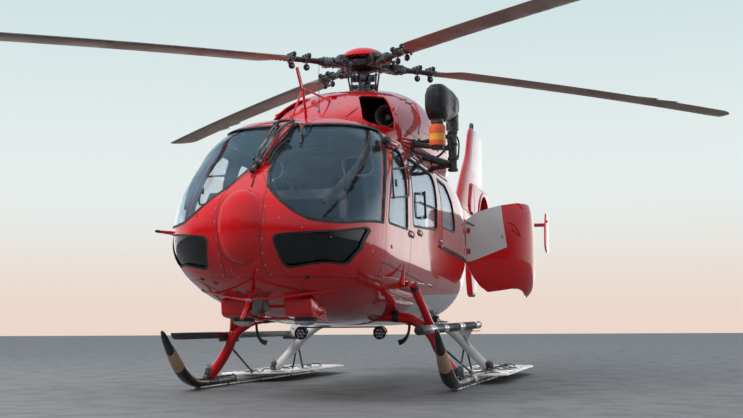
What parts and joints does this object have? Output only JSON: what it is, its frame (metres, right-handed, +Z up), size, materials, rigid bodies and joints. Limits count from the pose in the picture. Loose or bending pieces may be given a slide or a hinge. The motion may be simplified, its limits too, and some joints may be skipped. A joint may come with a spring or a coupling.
{
  "type": "twin-engine light helicopter",
  "caption": "Light rescue helicopter on skids with a four-blade rotor, shrouded tail fan, rear clamshell doors and a side hoist.",
  "frame": {"origin": "on the ground, midway between the foremost and rearmost points of the parked machine, on its centre line", "axes": "+X towards the nose, +Y to port, +Z up"},
  "size_m": [12.1232, 7.9824, 3.965],
  "materials": {
    "red_paint": "glossy clear-coated red",
    "white_paint": "satin white, scuffed",
    "clear_glazing": "clear acrylic",
    "black_plastic": "matt black",
    "dark_metal": "dark coated metal",
    "bright_metal": "polished tube",
    "blade_skin": "olive grey, satin",
    "seat_cloth": "dark woven cloth",
    "orange_rubber": "orange rubber"
  },
  "bodies": {
    "airframe": {"cabin_tub": "red_paint", "cabin_frame": "red_paint", "nose_shell": "red_paint", "windshield_port": "clear_glazing", "windshield_starboard": "clear_glazing", "chin_window_port": "clear_glazing", "chin_window_starboard": "clear_glazing", "quarter_window_port": "clear_glazing", "quarter_window_starboard": "clear_glazing", "sliding_door_port": "red_paint", "sliding_door_starboard": "red_paint", "sliding_door_glass_port": "clear_glazing", "sliding_door_glass_starboard": "clear_glazing", "engine_cowling": "red_paint", "engine_port": "dark_metal", "engine_starboard": "dark_metal", "main_gearbox": "dark_metal", "tail_boom": "red_paint", "tail_fin": "red_paint", "duct_stator": "dark_metal", "stabiliser_port": "red_paint", "stabiliser_starboard": "red_paint", "skid_port": "black_plastic", "skid_starboard": "black_plastic", "front_cross_tube": "red_paint", "rear_cross_tube": "white_paint", "boarding_step_port": "bright_metal", "boarding_step_starboard": "black_plastic", "hoist_bracket": "black_plastic", "crew_seat_port": "seat_cloth", "crew_seat_starboard": "seat_cloth", "cabin_bench": "seat_cloth", "instrument_panel": "black_plastic", "nose_radome": "red_paint", "wire_cutter_upper": "red_paint", "wire_cutter_lower": "red_paint", "belly_lights": "red_paint", "round_lamps": "black_plastic", "centre_console": "black_plastic"},
    "main_rotor": {"rotor_mast": "dark_metal", "rotor_hub": "dark_metal", "hub_cap": "red_paint", "rotor_blade_1": "blade_skin", "rotor_blade_2": "blade_skin", "rotor_blade_3": "blade_skin", "rotor_blade_4": "blade_skin"},
    "tail_rotor": {"tail_fan": "dark_metal"},
    "crew_door_port_body": {"crew_door_port": "red_paint", "crew_door_glass_port": "clear_glazing"},
    "crew_door_starboard_body": {"crew_door_starboard": "red_paint", "crew_door_glass_starboard": "clear_glazing"},
    "clamshell_port_body": {"clamshell_port": "red_paint"},
    "clamshell_starboard_body": {"clamshell_starboard": "red_paint"},
    "hoist": {"hoist_boom": "black_plastic", "hoist_hook": "orange_rubber"}
  },
  "joints": [
    {"name": "main_rotor_spin", "type": "hinge", "parent": "airframe", "child": "main_rotor", "pos_m": [2.07843, 0, 3.305], "axis": [0.0363, 0, 0.9993], "continuous": true},
    {"name": "tail_fan_spin", "type": "hinge", "parent": "airframe", "child": "tail_rotor", "pos_m": [-5.32157, 0, 2.17], "axis": [0, 1, 0], "continuous": true},
    {"name": "crew_door_port_hinge", "type": "hinge", "parent": "airframe", "child": "crew_door_port_body", "pos_m": [4.68043, 0.882, 1.3], "axis": [0, 0, -1], "range_deg": [0, 75]},
    {"name": "crew_door_starboard_hinge", "type": "hinge", "parent": "airframe", "child": "crew_door_starboard_body", "pos_m": [4.68043, -0.882, 1.3], "axis": [0, 0, 1], "range_deg": [0, 75]},
    {"name": "clamshell_port_hinge", "type": "hinge", "parent": "airframe", "child": "clamshell_port_body", "pos_m": [0.57843, 0.806, 1.5], "axis": [0, 0, 1], "range_deg": [0, 81]},
    {"name": "clamshell_starboard_hinge", "type": "hinge", "parent": "airframe", "child": "clamshell_starboard_body", "pos_m": [0.57843, -0.806, 1.5], "axis": [0, 0, -1], "range_deg": [0, 81]},
    {"name": "hoist_swing", "type": "hinge", "parent": "airframe", "child": "hoist", "pos_m": [2.71843, 1.06, 2.45], "axis": [0, 0, 1], "range_deg": [0, 90]}
  ]
}
